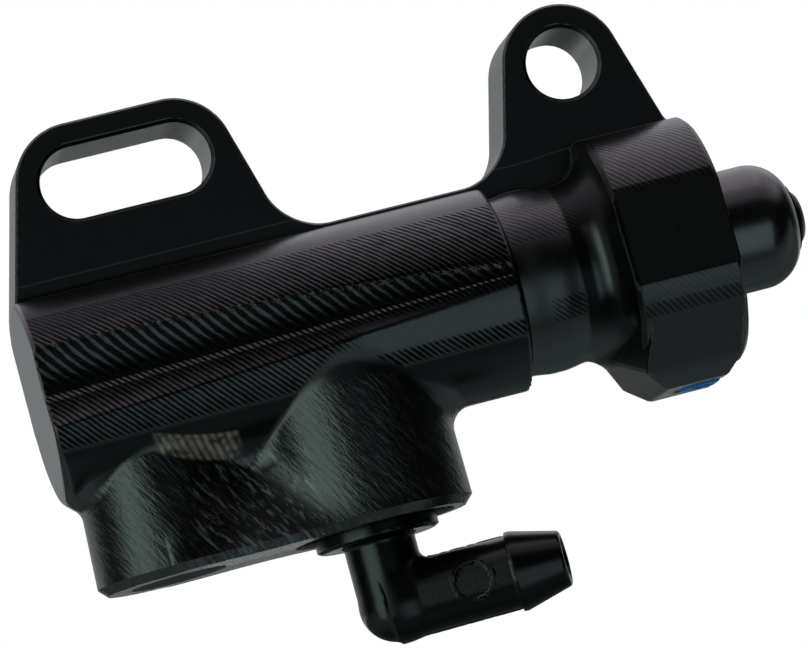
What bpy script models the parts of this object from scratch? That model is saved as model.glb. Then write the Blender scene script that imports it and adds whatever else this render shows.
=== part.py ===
# Rear brake master cylinder, machined from one block, with its piston set,
# pushrod, dust boot and swivelling reservoir elbow.
#
# Frame: +X along the bore towards the pushrod, +Z up towards the mounting ears.
# The mounting face is the plane Y = 0 and the object lies on its -Y side, so
# "front" means -Y. Lengths are in millimetres and MM turns them into metres.
import bpy
import bmesh
from math import pi, sin, cos, tan, atan2, radians, acos
from mathutils import Matrix, Vector

MM = 0.001

# ---- driving dimensions ------------------------------------------------------
AXIS_Y = -10.5            # bore axis, in front of the mounting face
BODY_LEFT = -36.9         # closed end of the housing
MAIN_END = 10.4           # right end of the main barrel
MAIN_R = 10.25
NECK_R = 9.15
COLLAR_LEFT = 21.1        # collar flanks
COLLAR_RIGHT = 32.0
COLLAR_R = 12.5
COLLAR_FILLET = 3.0       # from the neck up to the collar
COLLAR_FLAT = 11.47       # distance of the collar's flat from the axis
COLLAR_FLAT_TILT = 4.0    # its place round the collar, degrees above the front

EAR_T = 10.0              # ear thickness
EAR_HOLE_Z = 20.7         # height of the slot and the hole above the bore axis
EAR_HOLE_R = 3.6
EAR_ROUND = 6.0           # outer radius round the slot ends and the hole
FIX_X = 22.5              # half the fixing pitch
SLOT_TRAVEL = 5.0         # half the slot's travel
SLOT_LEFT = -FIX_X - SLOT_TRAVEL
SLOT_RIGHT = -FIX_X + SLOT_TRAVEL
VALLEY_Z = 10.85          # top of the spine between the ears
EAR_FOOT_Z = 12.1         # foot of the right ear's outer flank
BURIED_Z = -2.0           # where outlines end inside the barrel
BOSS_TOP_Z = -1.0         # where the port bosses end inside the barrel

BLOCK_Z = -19.6           # bottom face of the port block
OUTLET_X = -27.8          # outlet (banjo) port
OUTLET_R = 4.5
OUTLET_BOSS_R = 8.0
INLET_X = -7.9            # reservoir inlet
INLET_BOSS_R = 10.05
INLET_BORE_R = 5.0
COUNTERBORE_R = 7.8
COUNTERBORE_TOP = -16.9
INLET_GROOVE = (-19.05, -18.35)   # bottom and top of the counterbore's groove
PORT_TOOL_END = -24       # port cutters end here, clear of the block
CROSS_HOLE_OFFSET = 2.2   # small holes, either side of the inlet axis

FLUTE_R = 7.5             # shallow flute along the front of the barrel
FLUTE_ANGLE = 3.5         # its place round the barrel, degrees above the front
FLUTE_LEFT = 1.9          # its depth at the closed end
FLUTE_RIGHT = 0.14        # and at the neck

LUG_Z = -13.95            # bottom face of the collar's lug
LUG_KNEE_Z = -12.35       # where its flanks turn into the bottom chamfers
LUG_LEFT = 17.9
LUG_RIGHT = COLLAR_RIGHT - 0.1
LUG_FLANK = radians(34)   # direction of the flanks, off the vertical
SCREW_X = 27.3            # lock screw
SCREW_R = 2.5

BORE_R = 6.5
BORE_LEFT = -30.0
BORE_RIGHT = 22.0
MOUTH_R = 8.0
CIRCLIP_GROOVE = (23.55, 24.75)   # left and right flanks
BOOT_GROOVE = (31.2, 31.85)

GAP = 0.3                 # running gap between separate pieces
PISTON_R = BORE_R - GAP
PISTON_REAR = 21.9        # end of the piston towards the pushrod
BALL_X = PISTON_REAR - 2.2
SOCKET_R = 3.4            # piston socket round the pushrod's ball
BUSH_R = MOUTH_R - GAP

ELBOW_Z = -27.35          # height of the elbow's arm
ELBOW_SWING = -15.0       # angle of the arm about the stem, degrees
ELBOW_R = 3.65

SEG_BIG = 48
SEG_MID = 28
SEG_SMALL = 20

# ---- placing -----------------------------------------------------------------
IDENTITY = Matrix()
# local +Z onto world +X
ALONG_X = Matrix.Rotation(pi / 2, 4, "Y")
# local XY plane stood up as world XZ, local +Z onto world -Y
STAND = Matrix.Rotation(pi / 2, 4, "X")
# local XY plane onto world YZ, local +Z onto world +X
FACE_X = Matrix(((0, 0, 1, 0), (1, 0, 0, 0), (0, 1, 0, 0), (0, 0, 0, 1)))


def shift(x, y, z):
    return Matrix.Translation((x * MM, y * MM, z * MM))


def on_bore(x=0.0):
    return shift(x, AXIS_Y, 0) @ ALONG_X


def upright(x, z=0.0):
    return shift(x, AXIS_Y, z)


# ---- empty scene, collections, materials -------------------------------------
for old in list(bpy.data.objects):
    bpy.data.objects.remove(old, do_unlink=True)


def collection(name):
    found = bpy.data.collections.get(name) or bpy.data.collections.new(name)
    if name not in bpy.context.scene.collection.children:
        bpy.context.scene.collection.children.link(found)
    return found


PARTS = collection("brake_master_cylinder")
CUTTERS = collection("cutters")


def material(name, color, roughness, metallic=0.0):
    mat = bpy.data.materials.new(name)
    mat.use_nodes = True
    shader = mat.node_tree.nodes["Principled BSDF"]
    shader.inputs["Base Color"].default_value = (*color, 1.0)
    shader.inputs["Roughness"].default_value = roughness
    shader.inputs["Metallic"].default_value = metallic
    mat.diffuse_color = (*color, 1.0)
    return mat


ANODISED = material("black_anodised", color=(0.018, 0.018, 0.020), roughness=0.33, metallic=0.9)
BLUE = material("blue_anodised", color=(0.0, 0.09, 0.42), roughness=0.3, metallic=0.6)
STEEL = material("bright_steel", color=(0.62, 0.62, 0.60), roughness=0.3, metallic=1.0)
DARK_STEEL = material("dark_steel", color=(0.05, 0.05, 0.052), roughness=0.38, metallic=1.0)
PISTON_ALU = material("piston_aluminium", color=(0.48, 0.44, 0.36), roughness=0.35, metallic=0.9)
RUBBER = material("seal_rubber", color=(0.02, 0.02, 0.02), roughness=0.6)
BOOT = material("boot_rubber", color=(0.022, 0.022, 0.024), roughness=0.42)
PLASTIC = material("elbow_plastic", color=(0.02, 0.021, 0.02), roughness=0.4)
NYLON = material("seat_plastic", color=(0.72, 0.70, 0.62), roughness=0.5)


# ---- building blocks ---------------------------------------------------------
def add(mesh, name, mat=None, matrix=IDENTITY):
    """Link a mesh as an object. With a material it is a part of the product,
    without one it is a hidden boolean tool."""
    ob = bpy.data.objects.new(name, mesh)
    if mat is not None:
        PARTS.objects.link(ob)
        mesh.materials.clear()
        mesh.materials.append(mat)
    else:
        CUTTERS.objects.link(ob)
        ob.hide_render = True
        ob.display_type = "WIRE"
    ob.matrix_world = matrix
    return ob


def add_bmesh(bm, name, mat=None, matrix=IDENTITY):
    mesh = bpy.data.meshes.new(name)
    bm.to_mesh(mesh)
    bm.free()
    return add(mesh, name, mat, matrix)


def smooth(ob):
    for face in ob.data.polygons:
        face.use_smooth = True


def turned(name, profile, steps, mat=None, matrix=on_bore(), closed=False):
    """A profile of (height, radius) turned about local Z; on the bore, height
    is world X. A closed profile is a loop that stays off the axis."""
    mesh = bpy.data.meshes.new(name)
    verts = [(radius * MM, 0.0, height * MM) for height, radius in profile]
    edges = [(i, i + 1) for i in range(len(verts) - 1)]
    if closed:
        edges.append((len(verts) - 1, 0))
    mesh.from_pydata(verts, edges, [])
    ob = add(mesh, name, mat, matrix)
    screw = ob.modifiers.new("Screw", "SCREW")
    screw.axis = "Z"
    screw.angle = 2 * pi
    screw.steps = steps
    screw.render_steps = steps
    screw.use_merge_vertices = True
    screw.merge_threshold = 0.00001
    screw.use_smooth_shade = True
    return ob


def arc(center, center_radius, size, start, end, count):
    """Profile points on a circle, from angle start to end in degrees."""
    angles = [radians(start + (end - start) * k / count) for k in range(count + 1)]
    return [(center + size * cos(a), center_radius + size * sin(a)) for a in angles]


def rounded(points):
    """Corner points (x, y, radius) joined by straight lines, each corner turned
    into an arc of its radius."""
    out = []
    for i, (x, y, radius) in enumerate(points):
        corner = Vector((x, y))
        if radius <= 0:
            out.append(corner)
            continue
        to_last = (Vector(points[i - 1][:2]) - corner).normalized()
        to_next = (Vector(points[(i + 1) % len(points)][:2]) - corner).normalized()
        half_angle = acos(max(-1, min(1, to_last.dot(to_next)))) / 2
        setback = radius / tan(half_angle)
        center = corner + (to_last + to_next).normalized() * (radius / sin(half_angle))
        start = corner + to_last * setback - center
        end = corner + to_next * setback - center
        start_angle = atan2(start.y, start.x)
        sweep = atan2(end.y, end.x) - start_angle
        while sweep > pi:
            sweep -= 2 * pi
        while sweep < -pi:
            sweep += 2 * pi
        count = max(2, int(abs(sweep) / radians(11)) + 1)
        for k in range(count + 1):
            angle = start_angle + sweep * k / count
            out.append(center + Vector((cos(angle), sin(angle))) * radius)
    return out


def solid_from_curve(curve, name, mat, matrix):
    temp = bpy.data.objects.new(name + "_curve", curve)
    bpy.context.scene.collection.objects.link(temp)
    temp.matrix_world = matrix
    bpy.context.view_layer.update()
    depsgraph = bpy.context.evaluated_depsgraph_get()
    mesh = bpy.data.meshes.new_from_object(temp.evaluated_get(depsgraph))
    bm = bmesh.new()
    bm.from_mesh(mesh)
    bmesh.ops.remove_doubles(bm, verts=bm.verts, dist=0.000005)
    bmesh.ops.recalc_face_normals(bm, faces=bm.faces)
    bm.to_mesh(mesh)
    bm.free()
    ob = add(mesh, name, mat, temp.matrix_world.copy())
    bpy.data.objects.remove(temp, do_unlink=True)
    return ob


def plate(name, outline, thickness, mat=None, matrix=IDENTITY):
    """A flat outline in local XY, thickened both ways along local Z."""
    curve = bpy.data.curves.new(name + "_outline", "CURVE")
    curve.dimensions = "2D"
    curve.fill_mode = "BOTH"
    curve.extrude = thickness * MM / 2
    spline = curve.splines.new("POLY")
    spline.points.add(len(outline) - 1)
    for point, (x, y) in zip(spline.points, outline):
        point.co = (x * MM, y * MM, 0, 1)
    spline.use_cyclic_u = True
    return solid_from_curve(curve, name, mat, matrix)


def plate_xz(name, outline, thickness, y):
    """A tool with its outline in world X and Z, centred on y."""
    return plate(name, outline, thickness, matrix=shift(0, y, 0) @ STAND)


def plate_yz(name, outline, left, right):
    """A tool with its outline in world Y and Z, from left to right along X."""
    return plate(name, outline, right - left, matrix=shift((left + right) / 2, 0, 0) @ FACE_X)


def drum(name, radius, low, high, segments, matrix, mat=None, top_radius=None):
    """A cylinder along local Z from low to high, or a cone if top_radius is given."""
    if top_radius is None:
        top_radius = radius
    bm = bmesh.new()
    bmesh.ops.create_cone(bm, cap_ends=True, segments=segments, radius1=radius * MM,
                          radius2=top_radius * MM, depth=(high - low) * MM)
    bmesh.ops.translate(bm, verts=bm.verts, vec=(0, 0, (low + high) / 2 * MM))
    return add_bmesh(bm, name, mat, matrix)


def block(name, low, high, matrix=IDENTITY):
    """A box tool between two opposite corners."""
    bm = bmesh.new()
    bmesh.ops.create_cube(bm, size=1.0)
    for vert in bm.verts:
        vert.co = Vector([(low[i] + high[i]) / 2 * MM + vert.co[i] * (high[i] - low[i]) * MM
                          for i in range(3)])
    return add_bmesh(bm, name, matrix=matrix)


def cut(ob, tool, operation="DIFFERENCE"):
    boolean = ob.modifiers.new(operation.title() + "_" + tool.name, "BOOLEAN")
    boolean.operation = operation
    boolean.solver = "EXACT"
    boolean.object = tool


def open_ring(name, inner, outer, thickness, gap, matrix, eyes=True):
    """An open flat ring, its gap in degrees about local +X, with or without
    widened and drilled ends."""
    count = 30
    eye_depth = 1.1           # how far the widened ends reach inwards
    half_gap = radians(gap / 2)
    span = 2 * pi - 2 * half_gap
    outer_points, inner_points = [], []
    for k in range(count + 1):
        angle = half_gap + span * k / count
        widened = eyes and (k <= 2 or k >= count - 2)
        radius = inner - eye_depth if widened else inner
        outer_points.append((outer * cos(angle), outer * sin(angle)))
        inner_points.append((radius * cos(angle), radius * sin(angle)))
    ring = plate(name, outer_points + inner_points[::-1], thickness, DARK_STEEL, matrix)
    if eyes:
        angle = half_gap + span / count
        eye_place = inner - 0.1
        for suffix, side in (("_eyes", 1), ("_eyes2", -1)):
            place = shift(eye_place * cos(angle), side * eye_place * sin(angle), 0)
            cut(ring, drum(name + suffix, 0.42, -3, 3, 10, matrix @ place))


# =============================================================================
# housing
# =============================================================================
def barrel():
    """Outside of the barrel, neck and collar, one turned form."""
    fillet = []
    for k in range(7):
        angle = radians(90 * k / 6)
        fillet.append((COLLAR_LEFT - COLLAR_FILLET * (1 - sin(angle)),
                       NECK_R + COLLAR_FILLET * (1 - cos(angle))))
    profile = [
        (COLLAR_RIGHT, 0.0), (COLLAR_RIGHT, COLLAR_R - 0.5), (COLLAR_RIGHT - 0.5, COLLAR_R),
        (COLLAR_LEFT + 0.4, COLLAR_R), (COLLAR_LEFT, COLLAR_R - 0.4),
        *reversed(fillet),
        (MAIN_END + 1.2, NECK_R), (MAIN_END + 0.35, NECK_R + 0.12), (MAIN_END, NECK_R + 0.5),
        (MAIN_END - 0.35, MAIN_R - 0.25), (MAIN_END - 1.0, MAIN_R),
        (BODY_LEFT + 0.4, MAIN_R), (BODY_LEFT, MAIN_R - 0.4), (BODY_LEFT, 0.0),
    ]
    return turned("body", profile, SEG_BIG, ANODISED)


def flank_x(center_x, side, z, lean):
    """Where an ear flank crosses height z; it leans by lean and touches the
    round at center_x on the given side."""
    return center_x + side * EAR_ROUND / cos(lean) - side * tan(lean) * (z - EAR_HOLE_Z)


def ear_plate():
    """Both ears and the spine between them, one flat outline."""
    slot_outer, slot_inner = radians(14.8), radians(15.6)   # leans of the slotted ear
    hole_inner, hole_outer = radians(14.6), radians(16.4)   # and of the holed ear
    slot_top = EAR_HOLE_Z + EAR_ROUND
    knee_z = EAR_HOLE_Z - (SLOT_LEFT - EAR_ROUND / cos(slot_outer) - BODY_LEFT) / tan(slot_outer)
    # the holed ear's flanks meet above its round
    apex_z = EAR_HOLE_Z + ((EAR_ROUND / cos(hole_inner) + EAR_ROUND / cos(hole_outer))
                           / (tan(hole_inner) + tan(hole_outer)))
    ear_right = COLLAR_RIGHT - 0.6
    outline = rounded([
        (BODY_LEFT, BURIED_Z, 0),
        (BODY_LEFT, knee_z, 2.0),
        (flank_x(SLOT_LEFT, -1, slot_top, slot_outer), slot_top, EAR_ROUND),
        (flank_x(SLOT_RIGHT, 1, slot_top, slot_inner), slot_top, EAR_ROUND),
        (flank_x(SLOT_RIGHT, 1, VALLEY_Z, slot_inner), VALLEY_Z, 3.6),
        (flank_x(FIX_X, -1, VALLEY_Z, hole_inner), VALLEY_Z, 3.8),
        (flank_x(FIX_X, 1, apex_z, hole_outer), apex_z, EAR_ROUND),
        (flank_x(FIX_X, 1, EAR_FOOT_Z, hole_outer), EAR_FOOT_Z, 1.2),
        (ear_right, EAR_FOOT_Z, 0),
        (ear_right, BURIED_Z, 0),
    ])
    return plate_xz("ear_plate", outline, EAR_T, -EAR_T / 2)


def port_block():
    """Two upright bosses and the scooped web between them."""
    inlet_boss = drum("inlet_boss", INLET_BOSS_R, BLOCK_Z, BOSS_TOP_Z, SEG_BIG,
                      upright(INLET_X), top_radius=INLET_BOSS_R - 0.25)
    outlet_boss = drum("outlet_boss", OUTLET_BOSS_R, BLOCK_Z, BOSS_TOP_Z, SEG_BIG,
                       upright(OUTLET_X), top_radius=OUTLET_BOSS_R - 0.9)
    web_bottom = BLOCK_Z + 0.07
    # (y, z, corner radius)
    outline = rounded([
        (-19.25, web_bottom, 0), (-18.2, -17.2, 2.0), (-14.6, -11.6, 3.0), (-14.4, BURIED_Z, 0),
        (-6.4, BURIED_Z, 0), (-6.0, -11.6, 3.0), (-3.4, -17.2, 2.0), (-2.6, web_bottom, 0),
    ])
    return inlet_boss, outlet_boss, plate_yz("port_web", outline, OUTLET_X, INLET_X)


def collar_lug():
    """Lug under the collar, its flanks tangent to the collar."""
    tangent_y = AXIS_Y - COLLAR_R * cos(LUG_FLANK)
    tangent_z = -COLLAR_R * sin(LUG_FLANK)
    flank = (tangent_z - LUG_KNEE_Z) / cos(LUG_FLANK)
    knee_y = tangent_y + flank * sin(LUG_FLANK)
    toe_y = knee_y + (LUG_KNEE_Z - LUG_Z)     # 45 degree chamfer
    mirror = 2 * AXIS_Y
    outline = [
        (tangent_y + 0.05, tangent_z), (knee_y, LUG_KNEE_Z), (toe_y, LUG_Z),
        (mirror - toe_y, LUG_Z), (mirror - knee_y, LUG_KNEE_Z),
        (mirror - tangent_y - 0.05, tangent_z), (AXIS_Y, BURIED_Z),
    ]
    lug = plate_yz("collar_lug", outline, LUG_LEFT, LUG_RIGHT)

    tool_size = 40
    # sloping relief towards the neck, (x, z)
    relief = [(10.0, -8.9), (18.9, -8.9), (19.9, -10.7), (21.1, -12.2), (23.2, -14.3),
              (25.0, -16.1), (25.0, -20), (10.0, -20)]
    # chamfer towards the pushrod, (x, z)
    nose = [(29.4, -16.15), (29.4, -14.15), (31.75, -11.8), (36, -11.8), (36, -16.15)]
    cut(lug, plate_xz("lug_relief", relief, tool_size, AXIS_Y))
    cut(lug, plate_xz("lug_nose", nose, tool_size, AXIS_Y))

    # The four upright corners. Columns: x on the flank, x and distance from the
    # axis at the end face, far x, distance from the axis on the flank.
    half_width = AXIS_Y - knee_y
    corners = (
        (29.3, 31.95, half_width - 2.6, 40, half_width + 0.05),
        (21.0, 18.3, 1.0, 5, half_width + 0.3),
    )
    for side in (-1, 1):
        y_clear = AXIS_Y + side * (half_width + 9)
        for x_flank, x_end, at_end, x_far, at_flank in corners:
            y_end = AXIS_Y + side * at_end
            y_flank = AXIS_Y + side * at_flank
            corner = [(x_flank, y_flank), (x_end, y_end), (x_far, y_end),
                      (x_far, y_clear), (x_flank, y_clear)]
            cut(lug, plate("lug_corner", corner, tool_size))
    return lug


def face_cutters():
    """Everything behind the mounting face, and the flat on the collar's front."""
    back = block("back_cut", (-60, 0.0, -60), (60, 20, 60))
    tilt = (shift(0, AXIS_Y, 0) @ Matrix.Rotation(radians(-COLLAR_FLAT_TILT), 4, "X")
            @ shift(0, -AXIS_Y, 0))
    flat = block("collar_flat_cut", (COLLAR_LEFT - 1.2, -40, -30),
                 (50, AXIS_Y - COLLAR_FLAT, 30), tilt)
    return back, flat


def flute_cutter():
    """A long round tool along the barrel, sinking towards the closed end."""
    angle = radians(FLUTE_ANGLE)
    # (x, depth), past both ends of the barrel
    stations = ((BODY_LEFT - 2.0, FLUTE_LEFT + 0.075), (12.0, FLUTE_RIGHT - 0.06))
    ends = []
    for x, depth in stations:
        distance = MAIN_R + FLUTE_R - depth
        ends.append(Vector((x, AXIS_Y - distance * cos(angle), distance * sin(angle))))
    along = ends[1] - ends[0]
    turn = along.to_track_quat("Z", "Y").to_matrix().to_4x4()
    return drum("flute_cut", FLUTE_R, -along.length / 2, along.length / 2, 96,
                Matrix.Translation((ends[0] + ends[1]) / 2 * MM) @ turn)


def fixing_cutters():
    """Slot in the left ear, round hole in the right ear."""
    outline = []
    for center_x, start in ((SLOT_LEFT, pi / 2), (SLOT_RIGHT, -pi / 2)):
        for k in range(17):
            angle = start + pi * k / 16
            outline.append((center_x + EAR_HOLE_R * cos(angle),
                            EAR_HOLE_Z + EAR_HOLE_R * sin(angle)))
    slot = plate_xz("slot_cut", outline, 30, -EAR_T / 2)
    hole = drum("hole_cut", EAR_HOLE_R, -15, 15, 32, shift(FIX_X, -EAR_T / 2, EAR_HOLE_Z) @ STAND)
    return slot, hole


def bore_cutter():
    """Bore and wider mouth, with the circlip's and the boot ring's grooves."""
    groove_left, groove_right = CIRCLIP_GROOVE
    boot_left, boot_right = BOOT_GROOVE
    groove_r = MOUTH_R + 0.75
    boot_groove_r = MOUTH_R + 0.65
    return turned("bore_cut", [
        (40, 0.0), (40, MOUTH_R),
        (boot_right, MOUTH_R), (boot_right, boot_groove_r),
        (boot_left, boot_groove_r), (boot_left, MOUTH_R),
        (groove_right, MOUTH_R), (groove_right, groove_r),
        (groove_left, groove_r), (groove_left, MOUTH_R),
        (BORE_RIGHT, MOUTH_R), (BORE_RIGHT, BORE_R + 0.5), (BORE_RIGHT - 0.8, BORE_R),
        (BORE_LEFT, BORE_R), (BORE_LEFT - 1.6, 0.0),
    ], 36)


def port_cutters():
    """Outlet with its passage, inlet with counterbore and groove, the two small
    holes from the inlet to the bore, and the lock screw's hole."""
    outlet_wall = OUTLET_R - 0.4
    outlet_mouth = OUTLET_R + 0.1
    outlet = turned("outlet_cut", [
        (-5.0, 0.0), (-5.0, 1.2), (-9.9, 1.2), (-10.7, outlet_wall), (BLOCK_Z + 0.5, outlet_wall),
        (BLOCK_Z, outlet_mouth), (PORT_TOOL_END, outlet_mouth), (PORT_TOOL_END, 0.0),
    ], 28, matrix=upright(OUTLET_X))
    groove_low, groove_high = INLET_GROOVE
    groove_r = COUNTERBORE_R + 0.6
    inlet = turned("inlet_cut", [
        (-9.2, 0.0), (-9.2, 3.6), (-10.6, INLET_BORE_R),
        (COUNTERBORE_TOP, INLET_BORE_R), (COUNTERBORE_TOP, COUNTERBORE_R),
        (groove_high, COUNTERBORE_R), (groove_high, groove_r),
        (groove_low, groove_r), (groove_low, COUNTERBORE_R),
        (PORT_TOOL_END, COUNTERBORE_R), (PORT_TOOL_END, 0.0),
    ], 36, matrix=upright(INLET_X))
    feed = drum("feed_cut", 1.2, -12, -5, 12, upright(INLET_X + CROSS_HOLE_OFFSET))
    relief = drum("relief_cut", 0.45, -12, -5, 10, upright(INLET_X - CROSS_HOLE_OFFSET))
    screw = drum("screw_cut", SCREW_R + 0.15, -20, -6.5, SEG_SMALL, upright(SCREW_X))
    return outlet, inlet, feed, relief, screw


def housing():
    body = barrel()
    for tool in (ear_plate(), *port_block(), collar_lug()):
        cut(body, tool, "UNION")
    for tool in (*face_cutters(), flute_cutter(), *fixing_cutters(), bore_cutter(),
                 *port_cutters()):
        cut(body, tool)


# =============================================================================
# piston set, every piece on the bore axis; profiles are (x, radius)
# =============================================================================
def piston():
    """Rear land, seal groove, second land, waist, front head and a spigot for
    the cup. The ball socket opens towards the pushrod."""
    socket = arc(BALL_X, 0.0, SOCKET_R, 49.7, 180, 6)
    turned("piston", [
        (BALL_X - SOCKET_R, 0.0), *socket[-2::-1],
        (PISTON_REAR, 4.6), (21.5, PISTON_R - 0.4), (21.1, PISTON_R), (17.6, PISTON_R),
        (17.6, 4.3), (14.8, 4.3), (14.8, PISTON_R), (12.6, PISTON_R), (11.8, 3.6),
        (-5.2, 3.6), (-6.0, PISTON_R), (-7.4, PISTON_R), (-7.7, PISTON_R - 0.3),
        (-7.7, 2.3), (-13.4, 2.3), (-13.8, 1.9), (-13.8, 0.0),
    ], SEG_MID, PISTON_ALU)


def piston_rings():
    """The closed rings carried by the piston, and the stop washer."""
    # between piston head and cup
    turned("cup_washer", [(-8.0, 2.65), (-8.0, 5.9), (-8.35, 5.9), (-8.35, 2.65)],
           32, STEEL, closed=True)
    # its lip faces the closed end
    turned("primary_cup", [
        (-8.65, 2.7), (-8.65, 5.6), (-9.2, PISTON_R - 0.05), (-11.6, PISTON_R + 0.1),
        (-12.0, PISTON_R - 0.25), (-10.4, 4.6), (-10.4, 2.7),
    ], SEG_MID, RUBBER, closed=True)
    # round the end of the spigot
    turned("spring_seat", [
        (-10.8, 2.6), (-10.8, 4.2), (-12.2, 4.2), (-12.2, 3.9), (-12.6, 3.55),
        (-15.6, 3.2), (-15.6, 1.4), (-14.2, 1.4), (-14.2, 2.6),
    ], 32, NYLON, closed=True)
    # in the rear groove
    turned("secondary_seal", [
        (17.3, 4.6), (17.3, PISTON_R - 0.1), (16.4, PISTON_R + 0.1),
        (15.5, PISTON_R - 0.1), (15.1, 5.6), (15.1, 4.6),
    ], SEG_MID, RUBBER, closed=True)
    # between the mouth's shoulder and the circlip
    turned("stop_washer", [(23.3, 3.6), (23.3, 7.7), (22.3, 7.7), (22.3, 3.6)],
           SEG_MID, STEEL, closed=True)


def return_spring():
    """Compression spring along the bore; its ends are wound close."""
    left, right = -29.2, -13.2
    coil_r, wire_r = 4.75, 0.5
    turns, close_turns = 7.5, 0.75    # in all, and wound close at each end
    close_pitch = wire_r * 2.15
    length = right - left
    curve = bpy.data.curves.new("return_spring", "CURVE")
    curve.dimensions = "3D"
    curve.bevel_depth = wire_r * MM
    curve.bevel_resolution = 2
    curve.use_fill_caps = True
    count = int(turns * 12)
    spline = curve.splines.new("POLY")
    spline.points.add(count)
    for k in range(count + 1):
        turn = k / count * turns
        if turn < close_turns:
            height = close_pitch * turn
        elif turn > turns - close_turns:
            height = length - close_pitch * (turns - turn)
        else:
            part = (turn - close_turns) / (turns - 2 * close_turns)
            height = close_pitch * close_turns + part * (length - 2 * close_pitch * close_turns)
        angle = 2 * pi * turn
        spline.points[k].co = (coil_r * cos(angle) * MM, coil_r * sin(angle) * MM,
                               (left + height) * MM, 1)
    smooth(solid_from_curve(curve, "return_spring", STEEL, on_bore()))


def guide_bush():
    """Bush round the pushrod, grooved outside, with a wiper in its left end."""
    turned("guide_bush", [
        (29.0, 3.3), (29.0, BUSH_R), (28.6, BUSH_R), (28.3, BUSH_R - 0.55),
        (26.3, BUSH_R - 0.55), (26.0, BUSH_R), (25.1, BUSH_R), (25.1, 5.0),
        (26.4, 5.0), (26.4, 3.3),
    ], SEG_MID, DARK_STEEL, closed=True)
    turned("rod_wiper", [(26.1, 3.15), (26.1, 4.65), (25.2, 4.65), (25.2, 3.5), (25.6, 3.15)],
           32, RUBBER, closed=True)


def pushrod():
    """Ball in the piston's socket, shank through the bush, chamfered tip."""
    ball_r = SOCKET_R - GAP
    ball = arc(BALL_X, 0.0, ball_r, 40, 180, 8)
    turned("pushrod", [
        (41.5, 0.0), (41.5, 2.2), (41.1, 2.7), (32.0, 2.7), (31.4, 2.4), (24.0, 2.4),
        (23.6, 2.0), *ball[:-1], (BALL_X - ball_r, 0.0),
    ], 24, DARK_STEEL)


def dust_boot():
    """Flange seated in the mouth, domed nose on the rod."""
    dome = arc(36.6, 2.2, 4.05, 0, 90, 6)
    flange_r = MOUTH_R - GAP
    outer = [(40.6, 3.0), *dome[1:], (31.4, 6.25), (31.1, 6.5), (31.1, flange_r),
             (29.3, flange_r)]
    inner = [(29.3, 5.2), (36.6, 4.7), (38.3, 4.1), (39.0, 3.0)]
    turned("dust_boot", outer + inner, SEG_MID, BOOT, closed=True)


def lock_screw():
    """Hexagon socket screw, upright under the collar."""
    screw = drum("lock_screw", SCREW_R - 0.15, -14.1, -7.75, SEG_SMALL, upright(SCREW_X), BLUE)
    cut(screw, drum("lock_screw_hex", 1.35, -16, -12.3, 6, upright(SCREW_X)))


# =============================================================================
# reservoir elbow
# =============================================================================
def elbow():
    """Spigot, retaining flange, swivel flange, stem and barbed arm, drilled
    through. Profiles are (z, radius), and (distance from the stem, radius) on
    the arm."""
    swing = Matrix.Rotation(radians(ELBOW_SWING), 4, "Z")
    stem = upright(INLET_X) @ swing
    bend = upright(INLET_X, ELBOW_Z) @ swing
    arm = bend @ ALONG_X
    fitting = turned("elbow_fitting", [
        (-11.0, 0.0), (-11.0, 4.3), (-11.3, 4.6), (-12.6, 4.6), (-12.6, 3.5), (-14.6, 3.5),
        (-14.6, 4.6), (-17.2, 4.6), (-17.2, 7.3), (-18.1, 7.3), (-18.1, 5.3), (-19.2, 5.3),
        (-19.4, 6.15), (-20.7, 6.15), (-20.9, 5.9), (-20.9, 3.55), (ELBOW_Z, 3.55),
        (ELBOW_Z, 0.0),
    ], SEG_MID, PLASTIC, stem)

    bm = bmesh.new()
    bmesh.ops.create_uvsphere(bm, u_segments=16, v_segments=8, radius=ELBOW_R * MM)
    cut(fitting, add_bmesh(bm, "elbow_corner", matrix=bend), "UNION")
    cut(fitting, turned("elbow_arm", [
        (17.25, 0.0), (17.25, 2.55), (17.0, 2.8), (12.5, 3.98), (12.2, 3.95),
        (12.0, ELBOW_R), (-0.05, ELBOW_R - 0.03), (-0.05, 0.0),
    ], 32, matrix=arm), "UNION")
    cut(fitting, turned("elbow_drill", [
        (0.0, 0.0), (0.0, 2.3), (ELBOW_Z, 2.3), (ELBOW_Z - 1.2, 0.0),
    ], 20, matrix=stem))
    cut(fitting, turned("elbow_drill_arm", [(25, 0.0), (25, 1.9), (-0.2, 1.9), (-1.2, 0.0)],
                        20, matrix=arm))


def elbow_o_ring():
    """O-ring in the spigot's groove."""
    bpy.ops.mesh.primitive_torus_add(major_radius=4.18 * MM, minor_radius=0.5 * MM,
                                     major_segments=24, minor_segments=8)
    ring = bpy.context.active_object
    ring.name = "elbow_o_ring"
    ring.data.name = "elbow_o_ring"
    ring.matrix_world = upright(INLET_X, -13.6)
    for owner in list(ring.users_collection):
        owner.objects.unlink(ring)
    PARTS.objects.link(ring)
    ring.data.materials.append(RUBBER)
    smooth(ring)


def retaining_rings():
    """Circlip and boot ring in the mouth, circlip under the elbow's flange."""
    open_ring("bore_circlip", inner=7.0, outer=8.45, thickness=0.6, gap=40,
              matrix=on_bore(sum(CIRCLIP_GROOVE) / 2))
    open_ring("boot_ring", inner=7.0, outer=8.35, thickness=0.45, gap=36,
              matrix=on_bore(31.52) @ Matrix.Rotation(radians(90), 4, "Z"), eyes=False)
    open_ring("elbow_circlip", inner=6.9, outer=8.1, thickness=0.5, gap=40,
              matrix=upright(INLET_X, sum(INLET_GROOVE) / 2)
              @ Matrix.Rotation(radians(200), 4, "Z"))


housing()
piston()
piston_rings()
return_spring()
guide_bush()
pushrod()
dust_boot()
lock_screw()
elbow()
elbow_o_ring()
retaining_rings()
bpy.context.view_layer.update()
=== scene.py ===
from functools import reduce
from math import pi, sin, cos, tan, radians, sqrt
from types import SimpleNamespace

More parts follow.
